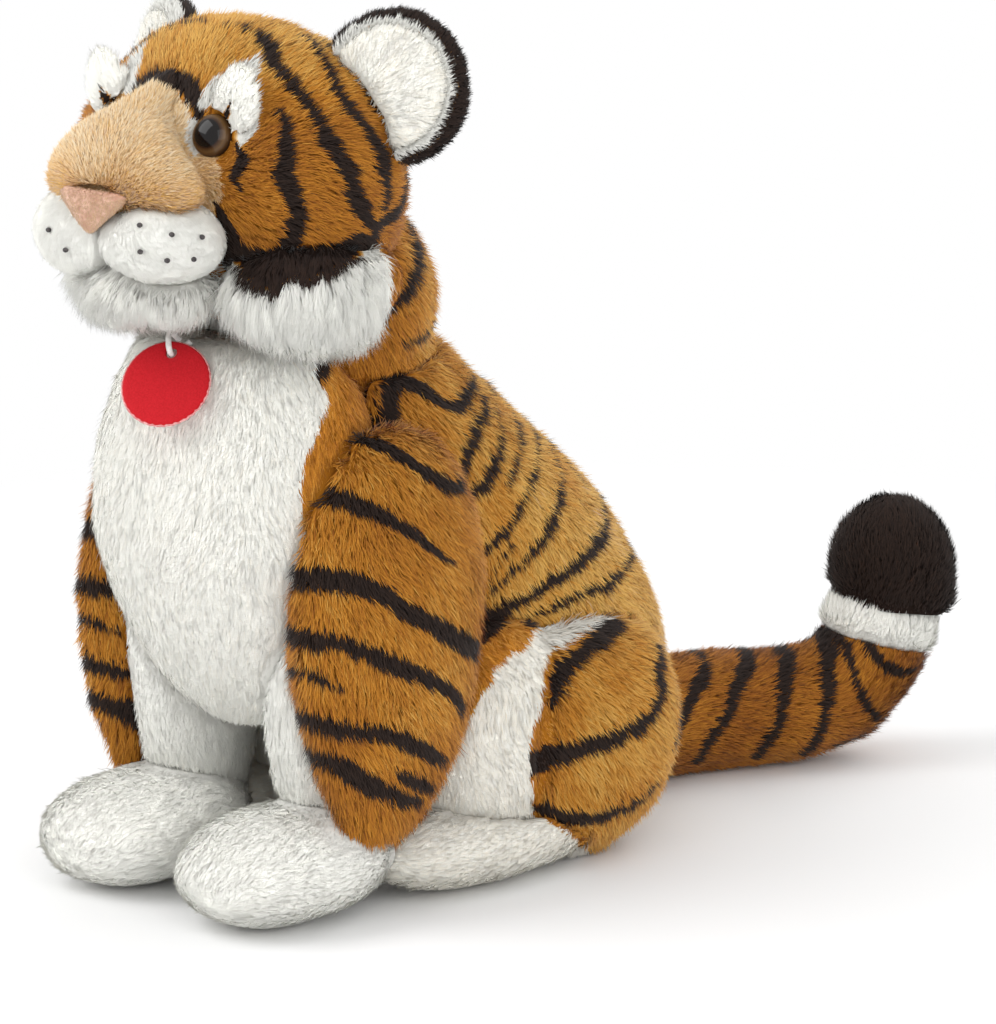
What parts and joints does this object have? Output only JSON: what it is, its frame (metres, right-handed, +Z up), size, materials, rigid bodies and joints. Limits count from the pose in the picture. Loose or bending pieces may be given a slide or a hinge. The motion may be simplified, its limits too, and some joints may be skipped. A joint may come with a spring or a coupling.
{
  "type": "plush tiger",
  "caption": "Sitting plush tiger with striped fur, white chest and paws, flexing head, ears and tail, glossy eyes and a round tag on a cord loop.",
  "frame": {"origin": "on the floor under the middle of the seat, on the toy's middle plane", "axes": "+Z up; the toy looks along -Y; +X is towards the toy's own left side"},
  "size_m": [0.1888, 0.4521, 0.357],
  "materials": {
    "striped_fur": "long-pile plush, golden brown with dark stripes",
    "white_fur": "long-pile plush, white",
    "black_fur": "long-pile plush, brown-black",
    "tan_plush": "short-pile plush, tan",
    "nose_plush": "shorn plush, pinkish tan",
    "eye_plastic": "polished amber-brown eye with a black pupil",
    "washer_plastic": "plain moulded locking washer",
    "tag_felt": "red felt, bare",
    "loop_cord": "thin white twisted cord"
  },
  "bodies": {
    "body": {"torso_back": "striped_fur", "chest_bib": "white_fur", "haunch_left": "striped_fur", "haunch_right": "striped_fur", "thigh_front_left": "white_fur", "thigh_front_right": "white_fur", "hind_paw_left": "white_fur", "hind_paw_right": "white_fur", "foreleg_left": "white_fur", "foreleg_right": "white_fur", "sleeve_left": "striped_fur", "sleeve_right": "striped_fur", "forepaw_left": "white_fur", "forepaw_right": "white_fur"},
    "neck": {"neck": "striped_fur"},
    "head": {"head": "striped_fur", "muzzle": "tan_plush", "nose": "nose_plush", "chin": "white_fur", "whisker_pad_left": "white_fur", "whisker_pad_right": "white_fur", "cheek_ruff_left": "white_fur", "cheek_ruff_right": "white_fur", "brow_patch_left": "white_fur", "brow_patch_right": "white_fur", "eye_left": "eye_plastic", "eye_right": "eye_plastic", "eye_washer_left": "washer_plastic", "eye_washer_right": "washer_plastic"},
    "ear_left": {"ear_back_left": "black_fur", "ear_lining_left": "white_fur"},
    "ear_right": {"ear_back_right": "black_fur", "ear_lining_right": "white_fur"},
    "tail": {"tail_striped": "striped_fur", "tail_ring": "white_fur", "tail_tip": "black_fur"},
    "tag": {"tag_disc": "tag_felt", "tag_loop": "loop_cord"}
  },
  "joints": [
    {"name": "head_turn", "type": "hinge", "parent": "body", "child": "neck", "pos_m": [0, -0.121, 0.236], "axis": [0, 0, 1], "range_deg": [-12, 12], "stiffness_Nm_per_rad": 1.5},
    {"name": "head_nod", "type": "hinge", "parent": "neck", "child": "head", "pos_m": [0, -0.121, 0.236], "axis": [1, 0, 0], "range_deg": [-10, 2], "stiffness_Nm_per_rad": 4},
    {"name": "ear_left_bend", "type": "hinge", "parent": "head", "child": "ear_left", "pos_m": [0.05028, -0.1497, 0.31822], "axis": [0.4706, 0.0394, -0.8814], "range_deg": [-20, 20], "stiffness_Nm_per_rad": 0.02},
    {"name": "ear_right_bend", "type": "hinge", "parent": "head", "child": "ear_right", "pos_m": [-0.05028, -0.1497, 0.31822], "axis": [0.4706, -0.0394, 0.8814], "range_deg": [-20, 20], "stiffness_Nm_per_rad": 0.02},
    {"name": "tail_swing", "type": "hinge", "parent": "body", "child": "tail", "pos_m": [0, 0.058, 0.027], "axis": [0, 0, 1], "range_deg": [-20, 20], "stiffness_Nm_per_rad": 0.2},
    {"name": "tag_swing", "type": "hinge", "parent": "body", "child": "tag", "pos_m": [0.008, -0.19689, 0.229], "axis": [-0.866, -0.5, 0], "range_deg": [0, 40]}
  ]
}
